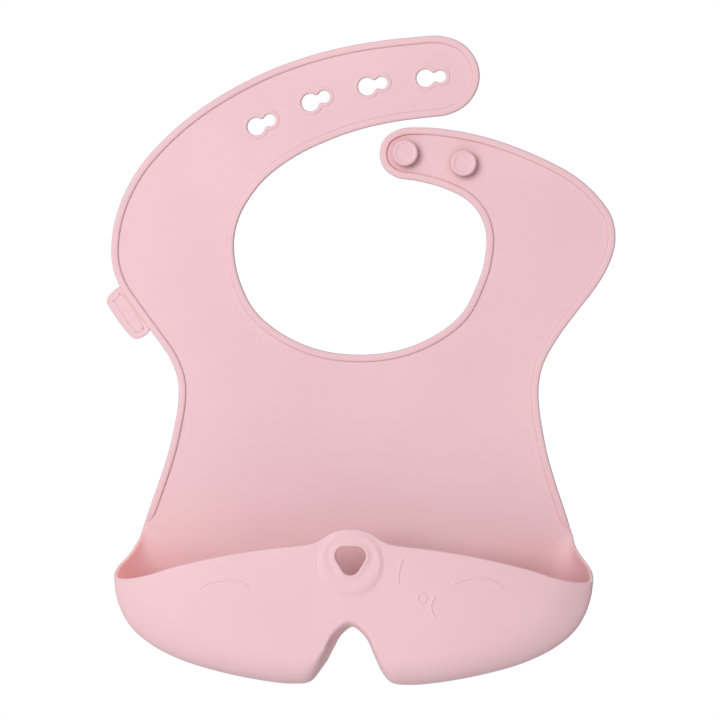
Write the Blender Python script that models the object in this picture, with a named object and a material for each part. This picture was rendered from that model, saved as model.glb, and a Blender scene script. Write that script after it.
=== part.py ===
"""Silicone feeding bib with a catch pocket, modelled upright as it is worn.

X runs to the right of someone facing the bib, Z up towards the neck, and the pocket
stands out towards -Y. The back face of the panel lies in the plane y = 0, and the
origin is the centre of the neck opening. All working sizes are millimetres.
"""
import math

import bmesh
import bpy
import numpy as np
from mathutils import Vector

MM = 0.001

# ---------------------------------------------------------------- driving sizes, mm
SHEET_T = 1.6          # panel and straps
BEAD_T = 2.4           # raised border, full thickness
BEAD_W = 3.2           # raised border, width
WALL_T = 1.5           # pocket wall
GAP = 0.4              # between neighbouring features
FLEX_GAP = 1.0         # bare line left in the sheet at each fold, on each side
BEAD_FLEX_GAP = 1.9    # the same in the thicker border
FOLD_Y = -SHEET_T / 2  # folds turn about the middle of the sheet

SHOULDER_Z = -8.0      # fold line of both straps
WAIST_Z = -85.0        # fold line across the panel
POCKET_Y = -46.5       # outer face of the pocket front on the centre line
POCKET_SHOULDER_Y = -32.0   # depth at which the pocket is widest
PRESS_Y, PRESS_Z = -44.0, -188.0

KEY_CUT_IN, KEY_CUT_OUT = (-42.8, 32.2), (-79.2, 60.0)
STUD_CUT_IN, STUD_CUT_OUT = (49.0, 21.8), (88.0, 39.2)

BOSS_C = (0.0, -142.3)
BOSS_R = 14.2
BOSS_T = 2.7
HANG_HOLE = ((-3.4, -138.8), (3.4, -138.8), (0.0, -145.2))
HANG_HOLE_R = 3.3

KEYHOLE_BIG_R = 4.05
KEYHOLE_SMALL_R = 2.8
KEYHOLE_WAIST = 1.9
WELT_W = 2.0
WELT_T = 2.3
KEYHOLES = (
    ((-48.9, 55.0), (-42.7, 58.0)),
    ((-23.9, 66.3), (-17.6, 69.0)),
    ((2.3, 73.9), (9.0, 75.6)),
    ((29.3, 77.9), (36.1, 78.7)),
)

STUDS = ((20.5, 42.8), (47.5, 38.3))
STUD_STEM_R = 2.9
STUD_CAP_R = 6.0
STUD_PROFILE = (       # radius, height above the back face
    (0.0, SHEET_T + GAP), (STUD_STEM_R, SHEET_T + GAP), (STUD_STEM_R, 4.0),
    (STUD_CAP_R - 0.7, 4.0), (STUD_CAP_R, 4.6), (STUD_CAP_R, 5.7),
    (STUD_CAP_R - 0.7, 6.4), (0.0, 6.4),
)

# The outline runs round the bib with the material on its left. Each stretch ends on a
# fold line, where the next one starts.
OUTLINE = (
    ("lower_right", [(99.3, -131), (95.6, -120), (91.5, -108), (87.9, -96)]),
    ("yoke_right", [(85.5, WAIST_Z), (83.7, -74), (83.3, -64), (85.2, -54), (91.5, -42),
                    (100, -30), (109, -18)]),
    ("stud_base_outer", [(114.6, SHOULDER_Z), (117.6, 3), (116, 14), (109.2, 24), (99, 33)]),
    ("stud_end", [STUD_CUT_OUT, (72, 46.1), (56, 51.2), (40, 54.2), (28, 55.1), (18, 54.3),
                  (11, 50), (8.6, 43), (10.6, 36.2), (16.5, 31.9), (26, 30.3), (38, 27.2)]),
    ("stud_base_inner", [STUD_CUT_IN, (55.4, 14.5), (58.3, 5)]),
    ("neck", [(57.2, SHOULDER_Z), (54, -18), (48, -30), (37.6, -39.4), (20, -47.6), (0, -50.3),
              (-20, -47.8), (-37.6, -39.8), (-48.8, -30), (-55, -18.5)]),
    ("key_base_inner", [(-57.9, SHOULDER_Z), (-58.5, 3), (-55.8, 14), (-49.5, 24.7)]),
    ("key_end", [KEY_CUT_IN, (-30, 41.5), (-15, 48.8), (0, 54.1), (16, 57.7), (30, 59.6),
                 (40, 61), (48, 65.2), (53, 72), (54.4, 80), (51.8, 88), (45.5, 94.4),
                 (36, 97.4), (24, 96.8), (8, 95), (-8, 92.2), (-26, 87.4), (-44, 80.7),
                 (-62, 71.5)]),
    ("key_base_outer", [KEY_CUT_OUT, (-92.7, 48), (-103, 36), (-110.8, 22), (-115.2, 7)]),
    ("yoke_left", [(-115.7, SHOULDER_Z), (-112.3, -19), (-104.5, -30.5), (-96, -41.8),
                   (-88, -53), (-84, -63.5), (-83.8, -74)]),
    ("lower_left", [(-85.5, WAIST_Z), (-87.9, -96), (-91.5, -108), (-95.6, -120),
                    (-99.3, -131)]),
)

# Right half of the pocket, from its rim down the side, round the lobe and up to the top
# of the notch: where it leaves the panel, where it is widest, and where the front starts.
POCKET_BACK = [(100.5, -134), (103.6, -146), (102.6, -158), (97.5, -170), (88.5, -179.3),
               (75, -186), (57, -190.5), (38, -193), (25, -193.8), (15.5, -191.8),
               (10.8, -187.5), (6.3, -180.5), (0, -176.5)]
POCKET_WIDE = [(107.5, -149.5), (106.6, -157), (104.4, -164), (99.5, -172), (91, -179.5),
               (77.5, -186.5), (59, -191.6), (39, -195), (25.5, -196), (17, -193.5),
               (12.6, -187), (7.8, -176), (0, -169)]
POCKET_FRONT = [(98, -150.8), (97.3, -157), (95, -163), (90.5, -169), (83, -175),
                (72, -180), (56, -184.5), (38.5, -187.8), (25.8, -188.5), (19, -186.5),
                (16, -181.5), (11.4, -172), (0, -164.5)]
POCKET_SIDE_RIM = (104.6, -142.8)    # a point of the side rim, 12 mm out from the back
SIDE_RIM_Y = -12.0
RIM = [(98, -150.8), (81, -145.7), (65, -141.7), (49, -138.6), (33, -136.4), (20, -135.2),
       (14.5, -133.9), (10.5, -132.2)]

TAG_FOLD = (-111.7, -20.9)    # a point of the tag's fold line, just outside the border
TAG_OUTLINE = [(-112.6, -21.3), (-115.9, -22.8), (-118, -26.6), (-116.6, -29.6),
               (-107.8, -41.8), (-104.5, -44.1), (-101.4, -43.4), (-98.8, -41.3)]
TAG_T = 1.4
TAG_FRAME_T = 0.6
TAG_FRAME_W = 1.1

SILICONE = (0.86, 0.61, 0.64, 1.0)


# ---------------------------------------------------------------- curves
def spline_at(points, u):
    """Point at parameter u on a centripetal Catmull-Rom curve through the points."""
    last = len(points) - 1
    i = min(int(u), last - 1)
    p1 = np.array(points[i], float)
    p2 = np.array(points[i + 1], float)
    p0 = np.array(points[i - 1], float) if i > 0 else 2 * p1 - p2
    p3 = np.array(points[i + 2], float) if i + 2 <= last else 2 * p2 - p1
    t0 = 0.0
    t1 = t0 + math.sqrt(np.linalg.norm(p1 - p0))
    t2 = t1 + math.sqrt(np.linalg.norm(p2 - p1))
    t3 = t2 + math.sqrt(np.linalg.norm(p3 - p2))
    t = t1 + (t2 - t1) * (u - i)
    a1 = (p0 * (t1 - t) + p1 * (t - t0)) / (t1 - t0)
    a2 = (p1 * (t2 - t) + p2 * (t - t1)) / (t2 - t1)
    a3 = (p2 * (t3 - t) + p3 * (t - t2)) / (t3 - t2)
    b1 = (a1 * (t2 - t) + a2 * (t - t0)) / (t2 - t0)
    b2 = (a2 * (t3 - t) + a3 * (t - t1)) / (t3 - t1)
    return (b1 * (t2 - t) + b2 * (t - t1)) / (t2 - t1)


def spline(points, per, start=0.0, end=None):
    """Points along the curve, about `per` steps on each span, from start to end."""
    end = len(points) - 1.0 if end is None else end
    count = max(2, int(round((end - start) * per)))
    return [spline_at(points, start + (end - start) * k / count) for k in range(count + 1)]


def trim(path, head, tail):
    """The path without a length `head` at its start and `tail` at its end."""
    path = [np.array(p, float) for p in path]
    for amount in (head, tail):
        left = amount
        while left > 0:
            step = float(np.linalg.norm(path[1] - path[0]))
            if step > left + 0.2:
                path[0] = path[0] + (path[1] - path[0]) * (left / step)
                break
            left -= step
            path.pop(0)
        path.reverse()
    return path


def inward(path, distance):
    """The path moved to its left by a distance."""
    out = []
    for k, point in enumerate(path):
        before = path[max(k - 1, 0)]
        after = path[min(k + 1, len(path) - 1)]
        along = after - before
        along = along / np.linalg.norm(along)
        out.append(point + distance * np.array((-along[1], along[0])))
    return out


STRETCHES = {}


def lay_out_edges(per):
    """Cut one smooth curve through the whole outline into its named stretches."""
    points = [p for _, stretch in OUTLINE for p in stretch]
    start = 0
    for name, stretch in OUTLINE:
        end = min(start + len(stretch), len(points) - 1)
        STRETCHES[name] = spline(points, per, start, end)
        start += len(stretch)


# ---------------------------------------------------------------- objects
def clear_scene():
    for old in list(bpy.data.objects):
        bpy.data.objects.remove(old, do_unlink=True)


def silicone(name):
    material = bpy.data.materials.new(name)
    material.use_nodes = True
    shader = material.node_tree.nodes["Principled BSDF"]
    shader.inputs["Base Color"].default_value = SILICONE
    shader.inputs["Roughness"].default_value = 0.55
    shader.inputs["Metallic"].default_value = 0.0
    material.diffuse_color = SILICONE
    return material


def pivot(name, parent, x, y, z):
    empty = bpy.data.objects.new(name + "_pivot", None)
    bpy.context.collection.objects.link(empty)
    empty.empty_display_size = 0.01
    place = Vector((x, y, z)) * MM
    if parent:
        empty.parent = parent
        place = place - parent.matrix_world.translation
    empty.location = place
    bpy.context.view_layer.update()
    return empty


def add_mesh(name, body, bm, smooth_angle=35):
    """Finish a mesh made in world millimetres and hang it on its body's pivot."""
    bmesh.ops.remove_doubles(bm, verts=bm.verts, dist=0.002)
    bmesh.ops.recalc_face_normals(bm, faces=bm.faces)
    offset = body.matrix_world.translation
    for vert in bm.verts:
        vert.co = vert.co * MM - offset
    mesh = bpy.data.meshes.new(name)
    bm.to_mesh(mesh)
    bm.free()
    mesh.shade_smooth()
    mesh.set_sharp_from_angle(angle=math.radians(smooth_angle))
    obj = bpy.data.objects.new(name, mesh)
    bpy.context.collection.objects.link(obj)
    mesh.materials.append(silicone(name))
    obj.parent = body
    return obj


def plate(name, body, outline, y_back, y_front, holes=(), bend=None, stations=()):
    """A flat plate standing in XZ, with holes, optionally bent in depth by bend(x)."""
    bm = bmesh.new()
    for loop in (outline, *holes):
        corners = [bm.verts.new((p[0], 0.0, p[1])) for p in loop]
        for a, b in zip(corners, corners[1:] + corners[:1]):
            bm.edges.new((a, b))
    bmesh.ops.remove_doubles(bm, verts=bm.verts, dist=0.01)
    bmesh.ops.triangle_fill(bm, edges=bm.edges, use_beauty=True, normal=(0, 1, 0))
    for x in stations:
        everything = bm.verts[:] + bm.edges[:] + bm.faces[:]
        bmesh.ops.bisect_plane(bm, geom=everything, plane_co=(x, 0, 0), plane_no=(1, 0, 0))
    bmesh.ops.recalc_face_normals(bm, faces=bm.faces)
    front = {}
    back = {}
    for vert in bm.verts:
        shift = bend(vert.co.x) if bend else 0.0
        front[vert] = (vert.co.x, y_front + shift, vert.co.z)
        back[vert] = (vert.co.x, y_back + shift, vert.co.z)
    solid = bmesh.new()
    top = {v: solid.verts.new(co) for v, co in front.items()}
    bottom = {v: solid.verts.new(co) for v, co in back.items()}
    for face in bm.faces:
        solid.faces.new([top[v] for v in face.verts])
        solid.faces.new([bottom[v] for v in reversed(face.verts)])
    for edge in bm.edges:
        if len(edge.link_faces) == 1:
            a, b = edge.verts
            solid.faces.new((top[a], top[b], bottom[b], bottom[a]))
    bm.free()
    return add_mesh(name, body, solid)


def bead(name, body, path, head, tail):
    """The raised border along a stretch of the outline."""
    section = ((0.5, 0.0), (BEAD_W, 0.0), (BEAD_W, -1.7), (BEAD_W - 0.7, -BEAD_T),
               (0.9, -BEAD_T), (0.0, -1.5), (0.0, -0.5))
    path = trim(path, head, tail)
    bm = bmesh.new()
    rings = []
    lines = [inward(path, distance) for distance, _ in section]
    for k in range(len(path)):
        ring = []
        for line, (_, y) in zip(lines, section):
            ring.append(bm.verts.new((line[k][0], y, line[k][1])))
        rings.append(ring)
    count = len(section)
    for a, b in zip(rings, rings[1:]):
        for k in range(count):
            bm.faces.new((a[k], a[(k + 1) % count], b[(k + 1) % count], b[k]))
    bm.faces.new(rings[0])
    bm.faces.new(list(reversed(rings[-1])))
    return add_mesh(name, body, bm)


def shell(name, body, grid, thickness):
    """A closed skin: the grid is its outer face, and it grows inwards."""
    rows = len(grid)
    columns = len(grid[0])
    inner = []
    for r in range(rows):
        line = []
        for c in range(columns):
            along = grid[min(r + 1, rows - 1)][c] - grid[max(r - 1, 0)][c]
            across = grid[r][min(c + 1, columns - 1)] - grid[r][max(c - 1, 0)]
            normal = along.cross(across).normalized()
            line.append(grid[r][c] - normal * thickness)
        inner.append(line)
    bm = bmesh.new()
    a = [[bm.verts.new(p) for p in line] for line in grid]
    b = [[bm.verts.new(p) for p in line] for line in inner]
    for r in range(rows - 1):
        for c in range(columns - 1):
            bm.faces.new((a[r][c], a[r][c + 1], a[r + 1][c + 1], a[r + 1][c]))
            bm.faces.new((b[r + 1][c], b[r + 1][c + 1], b[r][c + 1], b[r][c]))
    for r in range(rows - 1):
        bm.faces.new((a[r + 1][0], b[r + 1][0], b[r][0], a[r][0]))
        bm.faces.new((a[r][-1], b[r][-1], b[r + 1][-1], a[r + 1][-1]))
    for c in range(columns - 1):
        bm.faces.new((a[0][c], b[0][c], b[0][c + 1], a[0][c + 1]))
        bm.faces.new((a[-1][c + 1], b[-1][c + 1], b[-1][c], a[-1][c]))
    bmesh.ops.triangulate(bm, faces=bm.faces)
    return add_mesh(name, body, bm)


def turned(name, body, centre, profile, sides):
    """A piece turned about the depth axis, from a profile of radius and height."""
    bm = bmesh.new()
    x, z = centre
    verts = [bm.verts.new((x + r, -h, z)) for r, h in profile]
    edges = [bm.edges.new(pair) for pair in zip(verts, verts[1:])]
    bmesh.ops.spin(bm, geom=verts + edges, cent=(x, 0, z), axis=(0, 1, 0),
                   angle=2 * math.pi, steps=sides, use_merge=True)
    bmesh.ops.remove_doubles(bm, verts=bm.verts, dist=0.01)
    return add_mesh(name, body, bm)


# ---------------------------------------------------------------- small outlines
def arc(centre, radius, start, end, steps):
    out = []
    for k in range(steps + 1):
        angle = math.radians(start + (end - start) * k / steps)
        out.append((centre[0] + radius * math.cos(angle), centre[1] + radius * math.sin(angle)))
    return out


def keyhole(pair, grow):
    """Figure-of-eight outline: a large hole for the cap joined to a small one."""
    (bx, bz), (sx, sz) = pair
    heading = math.degrees(math.atan2(sz - bz, sx - bx))
    big = KEYHOLE_BIG_R + grow
    small = KEYHOLE_SMALL_R + grow
    apart = math.hypot(sx - bx, sz - bz)
    crossing = (apart ** 2 + big ** 2 - small ** 2) / (2 * apart)
    meet = math.sqrt(max(big ** 2 - crossing ** 2, 0.0))
    waist = max(KEYHOLE_WAIST + grow, meet + 0.25)
    open_big = math.degrees(math.asin(waist / big))
    open_small = math.degrees(math.asin(waist / small))
    first = arc((bx, bz), big, heading + open_big, heading + 360 - open_big, 14)
    second = arc((sx, sz), small, heading - 180 + open_small, heading + 180 - open_small, 10)
    return first + second


def hang_hole():
    """Rounded triangle that points down."""
    left, right, low = HANG_HOLE
    outline = arc(low, HANG_HOLE_R, 208, 332, 6)
    outline += arc(right, HANG_HOLE_R, -28, 90, 6)
    outline += arc(left, HANG_HOLE_R, 90, 208, 6)
    return outline


# ---------------------------------------------------------------- pocket surface
def front_depth(x):
    """The pocket front falls back towards its sides."""
    return POCKET_Y + 5.0 * (abs(x) / 97.0) ** 3


def mirrored(points):
    """Both halves of a symmetric line given by its right half, which ends at x = 0."""
    return list(points) + [(-x, z) for x, z in reversed(points[:-1])]


def pocket_grid(start, end, per, depth_start=-SHEET_T - GAP):
    """Wall and floor between two places on the outline; column 12 is the notch's top."""
    back = mirrored(POCKET_BACK)
    wide = mirrored(POCKET_WIDE)
    front = mirrored(POCKET_FRONT)
    share = (SIDE_RIM_Y - depth_start) / (POCKET_SHOULDER_Y - depth_start)
    middle = [(b[0] + (w[0] - b[0]) * share, b[1] + (w[1] - b[1]) * share)
              for b, w in zip(back, wide)]
    middle[0] = POCKET_SIDE_RIM
    middle[-1] = (-POCKET_SIDE_RIM[0], POCKET_SIDE_RIM[1])
    rows = []
    for line, y in ((back, depth_start), (middle, SIDE_RIM_Y), (wide, POCKET_SHOULDER_Y)):
        rows.append([Vector((p[0], y, p[1])) for p in spline(line, per, start, end)])
    wide_points = spline(wide, per, start, end)
    front_points = spline(front, per, start, end)
    for angle in (4, 28, 56, 82):
        turn = math.radians(angle)
        row = []
        for w, f in zip(wide_points, front_points):
            radius = min(float(np.linalg.norm(f - w)), 9.5)
            x, z = w + (f - w) * (1 - math.cos(turn))
            y = front_depth(f[0]) + radius * (1 - math.sin(turn))
            row.append(Vector((x, y, z)))
        rows.append(row)
    return rows


# ---------------------------------------------------------------- build
def build():
    clear_scene()
    lay_out_edges(2)
    edge = STRETCHES
    inset = BEAD_W + GAP

    def sheet(name, body, parts, holes=(), extra=()):
        outline = []
        for stretch, head, tail in parts:
            outline += inward(trim(edge[stretch], head, tail), inset)
        outline += list(extra)
        return plate(name, body, outline, 0.0, -SHEET_T, holes)

    yoke = pivot("yoke", None, 0, 0, 0)
    key_base = pivot("key_strap_base", yoke, 0, FOLD_Y, SHOULDER_Z)
    key_end = pivot("key_strap_end", key_base, KEY_CUT_IN[0], FOLD_Y, KEY_CUT_IN[1])
    stud_base = pivot("stud_strap_base", yoke, 0, FOLD_Y, SHOULDER_Z)
    stud_end = pivot("stud_strap_end", stud_base, STUD_CUT_IN[0], FOLD_Y, STUD_CUT_IN[1])
    lower = pivot("lower", yoke, 0, FOLD_Y, WAIST_Z)
    pocket = pivot("pocket", lower, 0, PRESS_Y, PRESS_Z)
    tag = pivot("tag", yoke, TAG_FOLD[0], -TAG_T / 2, TAG_FOLD[1])

    g = FLEX_GAP
    b = BEAD_FLEX_GAP

    # upper panel, fixed where the neck holds it
    sheet("yoke_panel", yoke, (("yoke_right", g, g), ("neck", g, g), ("yoke_left", g, g)))
    bead("neck_bead", yoke, edge["neck"], b, b)
    bead("yoke_bead_right", yoke, edge["yoke_right"], b, b)
    bead("yoke_bead_left", yoke, edge["yoke_left"], b, b)

    # keyhole strap
    sheet("key_strap_base", key_base, (("key_base_inner", g, g), ("key_base_outer", g, g)))
    bead("key_strap_base_bead_inner", key_base, edge["key_base_inner"], b, b)
    bead("key_strap_base_bead_outer", key_base, edge["key_base_outer"], b, b)
    sheet("key_strap_end", key_end, (("key_end", g, g),),
          holes=[keyhole(pair, WELT_W + GAP) for pair in KEYHOLES])
    bead("key_strap_end_bead", key_end, edge["key_end"], b, b)
    for number, pair in enumerate(KEYHOLES, 1):
        plate(f"keyhole_welt_{number}", key_end, keyhole(pair, WELT_W), 0.0, -WELT_T,
              holes=[keyhole(pair, 0.0)])

    # stud strap
    sheet("stud_strap_base", stud_base, (("stud_base_outer", g, g), ("stud_base_inner", g, g)))
    bead("stud_strap_base_bead_outer", stud_base, edge["stud_base_outer"], b, b)
    bead("stud_strap_base_bead_inner", stud_base, edge["stud_base_inner"], b, b)
    sheet("stud_strap_end", stud_end, (("stud_end", g, g),))
    bead("stud_strap_end_bead", stud_end, edge["stud_end"], b, b)
    for number, centre in enumerate(STUDS, 1):
        turned(f"stud_{number}", stud_end, centre, STUD_PROFILE, 24)

    # lower panel, which is also the back of the pocket
    bottom = spline(list(reversed(mirrored(POCKET_BACK))), 2)
    sheet("lower_panel", lower, (("lower_right", 0, g), ("lower_left", g, 0)), extra=bottom)
    bead("lower_bead_right", lower, edge["lower_right"], 3.0, b)
    bead("lower_bead_left", lower, edge["lower_left"], b, 3.0)

    # pocket: two side walls, a floor that rises over the notch, and the front
    side = 4.0
    slit = 0.035
    last = 2 * (len(POCKET_BACK) - 1)
    shell("pocket_wall_right", lower, pocket_grid(0, side - slit, 3), WALL_T)
    shell("pocket_floor", lower, pocket_grid(side + slit, last - side - slit, 4), WALL_T)
    shell("pocket_wall_left", lower, pocket_grid(last - side + slit, last, 3), WALL_T)

    foot = inward(spline(mirrored(POCKET_FRONT), 4, 0.15, last - 0.15), -GAP)
    rim = spline(RIM, 2, 0.12, len(RIM) - 1.0)
    seat = arc(BOSS_C, BOSS_R + GAP, 43, -223, 22)
    top = [(-x, z) for x, z in rim] + list(reversed(seat))[1:-1] + list(reversed(rim))
    plate("pocket_front", pocket, foot + top, WALL_T, 0.0, bend=front_depth,
          stations=range(-90, 91, 15))
    plate("pocket_boss", pocket, arc(BOSS_C, BOSS_R, 0, 348.75, 31), POCKET_Y + BOSS_T - 0.6,
          POCKET_Y - 0.6, holes=[hang_hole()])

    # side tag with a plain raised frame
    plate("side_tag", tag, TAG_OUTLINE, 0.0, -TAG_T)
    centre = np.mean(np.array(TAG_OUTLINE), axis=0)
    outer = [centre + (np.array(p) - centre) * 0.66 for p in TAG_OUTLINE]
    inner = [centre + (np.array(p) - centre) * 0.46 for p in TAG_OUTLINE]
    plate("side_tag_frame", tag, outer, -TAG_T - 0.3, -TAG_T - 0.3 - TAG_FRAME_T, holes=[inner])


build()
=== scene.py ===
"""Looks of the silicone feeding bib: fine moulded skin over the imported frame.

The bib stands upright: x to the right, z up, its back at y = 0 and its front towards -y.
"""
import math

import bmesh
import bpy
import numpy as np
from mathutils import Matrix, Vector
from mathutils.geometry import delaunay_2d_cdt


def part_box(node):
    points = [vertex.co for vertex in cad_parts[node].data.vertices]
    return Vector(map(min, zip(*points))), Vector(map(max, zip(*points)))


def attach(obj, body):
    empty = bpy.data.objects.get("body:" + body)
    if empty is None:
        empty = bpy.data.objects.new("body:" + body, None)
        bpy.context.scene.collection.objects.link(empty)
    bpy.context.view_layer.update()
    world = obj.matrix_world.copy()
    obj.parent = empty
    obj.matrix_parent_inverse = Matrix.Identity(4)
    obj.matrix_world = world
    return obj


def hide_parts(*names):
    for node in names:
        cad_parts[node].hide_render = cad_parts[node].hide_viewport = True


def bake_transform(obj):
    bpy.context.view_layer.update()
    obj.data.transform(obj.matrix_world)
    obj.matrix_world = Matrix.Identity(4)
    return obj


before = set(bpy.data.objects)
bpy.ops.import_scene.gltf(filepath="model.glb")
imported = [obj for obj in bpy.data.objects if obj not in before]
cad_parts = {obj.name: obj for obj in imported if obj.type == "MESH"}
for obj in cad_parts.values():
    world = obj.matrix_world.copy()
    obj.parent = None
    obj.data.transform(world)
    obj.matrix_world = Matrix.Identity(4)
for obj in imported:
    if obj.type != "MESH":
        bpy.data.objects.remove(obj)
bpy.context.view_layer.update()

MM = 0.001

# ---------------------------------------------------------------- sizes, mm
SHEET_BACK = -0.06      # the sheet's back lies a hair inside the border's back
SHEET_T = 1.6
SHEET_TUCK = 1.3        # how far the sheet's edge runs in under the border
BORDER_W = 3.5          # width of the rounded border
BORDER_T = 2.5          # its full thickness
BORDER_SOFT = 0.95      # radius of its corners
FADE_LOW = -133.5       # the border narrows from the upper of these heights to the lower
FADE_HIGH = -123.0
FADE_LEFT = 0.36        # share of its size that is left at the lower end
WALL_T = 1.54           # pocket wall, as thick as the sheet from SHEET_BACK to its front
SHOULDER_Z = -8.0
WAIST_Z = -85.0
KEY_FOLD = ((-42.8, 32.2), (-79.2, 60.0))
STUD_FOLD = ((49.0, 21.8), (88.0, 39.2))
CORD_ROUND = 5          # steps in each rounded corner of a swept bar
EDGE_STEP = 1.1         # distance between points along the bib's outline
RING_STEP = 0.5         # and along the small rings and lines

OUTLINE = (
    ("lower_right", [(99.3, -131), (95.6, -120), (91.5, -108), (87.9, -96)]),
    ("yoke_right", [(85.5, WAIST_Z), (83.7, -74), (83.3, -64), (85.2, -54), (91.5, -42),
                    (100, -30), (109, -18)]),
    ("stud_base_outer", [(114.6, SHOULDER_Z), (117.6, 3), (116, 14), (109.2, 24), (99, 33)]),
    ("stud_end", [STUD_FOLD[1], (72, 46.1), (56, 51.2), (40, 54.2), (28, 55.1), (18, 54.3),
                  (11, 50), (8.6, 43), (10.6, 36.2), (16.5, 31.9), (26, 30.3), (38, 27.2)]),
    ("stud_base_inner", [STUD_FOLD[0], (55.4, 14.5), (58.3, 5)]),
    ("neck", [(57.2, SHOULDER_Z), (54, -18), (48, -30), (37.6, -39.4), (20, -47.6), (0, -50.3),
              (-20, -47.8), (-37.6, -39.8), (-48.8, -30), (-55, -18.5)]),
    ("key_base_inner", [(-57.9, SHOULDER_Z), (-58.5, 3), (-55.8, 14), (-49.5, 24.7)]),
    ("key_end", [KEY_FOLD[0], (-30, 41.5), (-15, 48.8), (0, 54.1), (16, 57.7), (30, 59.6),
                 (40, 61), (48, 65.2), (53, 72), (54.4, 80), (51.8, 88), (45.5, 94.4),
                 (36, 97.4), (24, 96.8), (8, 95), (-8, 92.2), (-26, 87.4), (-44, 80.7),
                 (-62, 71.5)]),
    ("key_base_outer", [KEY_FOLD[1], (-92.7, 48), (-103, 36), (-110.8, 22), (-115.2, 7)]),
    ("yoke_left", [(-115.7, SHOULDER_Z), (-112.3, -19), (-104.5, -30.5), (-96, -41.8),
                   (-88, -53), (-84, -63.5), (-83.8, -74)]),
    ("lower_left", [(-85.5, WAIST_Z), (-87.9, -96), (-91.5, -108), (-95.6, -120),
                    (-99.3, -131)]),
)

# Right half of the pocket, from its rim down the side, round the lobe and up to the top
# of the notch. The flat back ends at PLATE, the corner turns out to BACK, the pocket is
# widest at WIDE, and the front begins at FRONT. The same place in each list is the same
# place round the pocket. RIM is its top edge, from the side to the middle.
PLATE = [(98.5, -130.8), (88.5, -135.5), (80.5, -144.5), (75.5, -154), (69.5, -161),
         (61, -167), (49.5, -172), (38, -174.5), (29.5, -175.5), (24.3, -174.6),
         (20, -172), (15, -168), (9, -163.8), (0, -161.5)]
BACK = [(103.8, -141.2), (104.2, -148), (102.8, -158), (97.8, -170), (88.8, -179.3),
        (75, -186), (57, -191), (38, -194.5), (25.5, -195.8), (16.8, -194.6),
        (12.2, -190.8), (8.6, -184.2), (5, -178.4), (0, -175.2)]
WIDE = [(107.4, -149.1), (106.6, -156), (104.4, -163.5), (99.5, -172), (91, -179.5),
        (77.5, -186.5), (59, -192.2), (39, -196.2), (26, -197.5), (18.3, -196.6),
        (14.2, -192.3), (10.4, -184.5), (6.4, -176.3), (0, -171.6)]
FRONT = [(89.5, -148.5), (88.6, -154.5), (86, -159.8), (80.8, -164.8), (73, -169.4),
         (63, -173.8), (51, -177.6), (39.5, -180.8), (28.5, -183), (20, -184.6),
         (15.8, -184.2), (12.4, -180.6), (7.6, -171.9), (0, -167.1)]
RIM = [(107.4, -149.1), (106.9, -150.2), (104.8, -150.9), (101.3, -150.9), (96.8, -150.2),
       (89.5, -148.5), (81, -145.7), (65, -141.7), (49, -138.6), (33, -136.4), (21, -135.1),
       (16.5, -134.3), (13, -132.6), (9, -130.0), (4.5, -128.5), (0, -128.1)]
# The rim's side: from the flat back's edge it swings out and down to the widest place.
SIDE_RIM = [(98.5, -0.06, -130.8), (99.4, -0.6, -133.6), (100.7, -3.2, -137.2),
            (102.7, -8.5, -140.4), (104.7, -14, -142.9), (106.2, -20, -144.7),
            (107.2, -26.5, -146.6), (107.4, -33, -149.1)]
SIDE_FADE = 34.0        # how far down the wall the side rim's line is felt
FLAT_LAP = 0.8          # flat strip of the pocket's skin where it meets the sheet
LEAN = 0.019            # drop per mm to the left of the middle
LEAN_FROM = 2.0         # the drop comes in between these depths
LEAN_FULL = 16.0
CORNER_R = 15.0         # round between the flat back and the pocket's walls
CORNER_POWER = 1.65     # above 1 the round leaves the flat back more softly than an arc
BACK_Y = -10.0          # depth at which BACK is given
WIDE_Y = -33.0
FRONT_Y = -46.5
FRONT_FALL = 7.0        # how far the front has fallen back at FRONT_HALF from the middle
FRONT_HALF = 97.0
SPLIT_Y = -16.0         # depth at which the pocket is cut, to let its front flex
COLUMN_STEP = 0.95      # distance between the columns of the pocket's net
CORNER_ROWS = 13        # its rows: the round, the walls, the front's round, the front
WALL_ROWS = 10
TURN_ROWS = 15
FRONT_ROWS = 47
RIM_STEPS = 7           # steps round the rim, from the outer face to the inner one
RIM_START = 4           # columns over which that round grows at the rim's two ends

BOSS_C = (0.0, -142.3)
BOSS_H = 0.75           # how far the boss stands out
BOSS_TOP_R = 12.6       # its flat top ends here and its slope at BOSS_R
BOSS_R = 15.0
MOAT_T = 0.25           # shallow moat in the boss, round the hole's lip
MOAT_OUT = 3.2          # its distance from the hole, and its half width
MOAT_HALF = 1.1
MOAT_LIMIT_R = 13.0     # it ends this far from the boss's middle
HANG_HOLE = ((-2.6, -139.2), (2.6, -139.2), (0.0, -143.6))
HANG_HOLE_R = 4.1
HOLE_CUT = (-40, -55)   # depths between which the hole is cut
LIP_LINE = 0.95         # the lip's middle line, outside the opening
LIP_W = 1.9
LIP_T = 3.0
LIP_SOFT = 0.9
LIP_SINK = 0.55         # how far the lip's middle lies behind the front

KEYHOLE_BIG_R = 4.05
KEYHOLE_SMALL_R = 2.8
KEYHOLE_WAIST = 1.9     # half the width between the two holes
WELT_LINE = 1.1         # the welt's middle line, outside the keyhole's edge
WELT_W = 2.2
WELT_T = 1.86
WELT_SOFT = 0.85
KEYHOLES = (
    ((-48.9, 55.0), (-42.7, 58.0)),
    ((-23.9, 66.3), (-17.6, 69.0)),
    ((2.3, 73.9), (9.0, 75.6)),
    ((29.3, 77.9), (36.1, 78.7)),
)

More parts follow.
